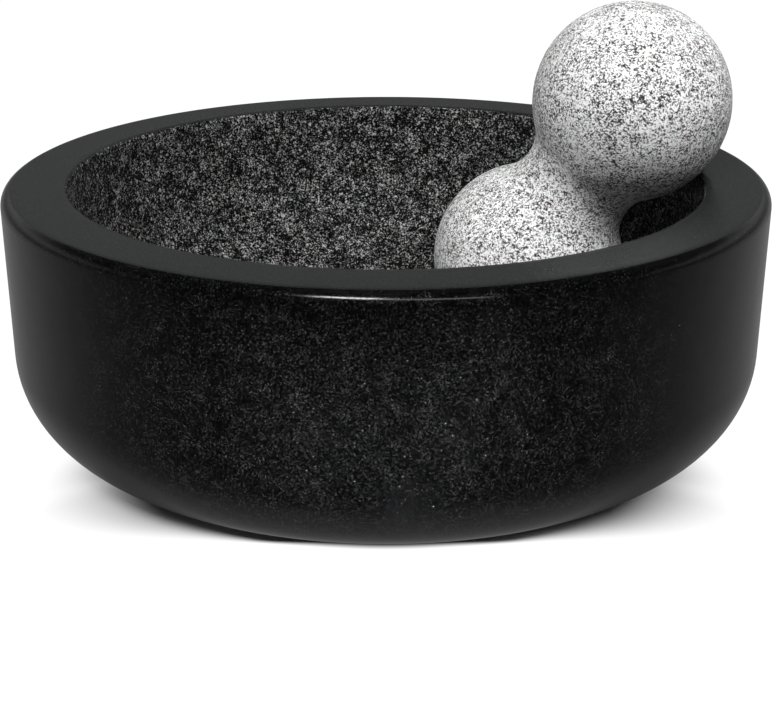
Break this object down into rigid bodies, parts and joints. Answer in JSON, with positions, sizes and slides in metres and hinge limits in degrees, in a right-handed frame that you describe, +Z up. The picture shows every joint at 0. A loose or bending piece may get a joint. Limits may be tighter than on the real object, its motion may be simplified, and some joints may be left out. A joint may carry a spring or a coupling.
{
  "type": "molcajete",
  "caption": "Wide, low mortar bowl of polished black granite with a pecked hollow, and a loose double-ended granite pestle leaning in it, for grinding food.",
  "frame": {"origin": "centre of the bowl's flat base, on the surface that the bowl stands on", "axes": "+Z up along the bowl's own axis of turning; the pestle's lower ball stands on the +X side, 22 degrees towards +Y, and its upper ball rests on the mouth's edge at +X"},
  "size_m": [0.24, 0.24, 0.1368],
  "materials": {
    "black_granite": "gloss",
    "grey_granite": "matte"
  },
  "bodies": {
    "bowl": {"bowl": "black_granite"},
    "pestle": {"pestle": "grey_granite"}
  },
  "joints": [
    {"name": "pestle_lift", "type": "slide", "parent": "bowl", "child": "pestle", "axis": [0, 0, 1], "range_m": [0, 0.1]}
  ]
}
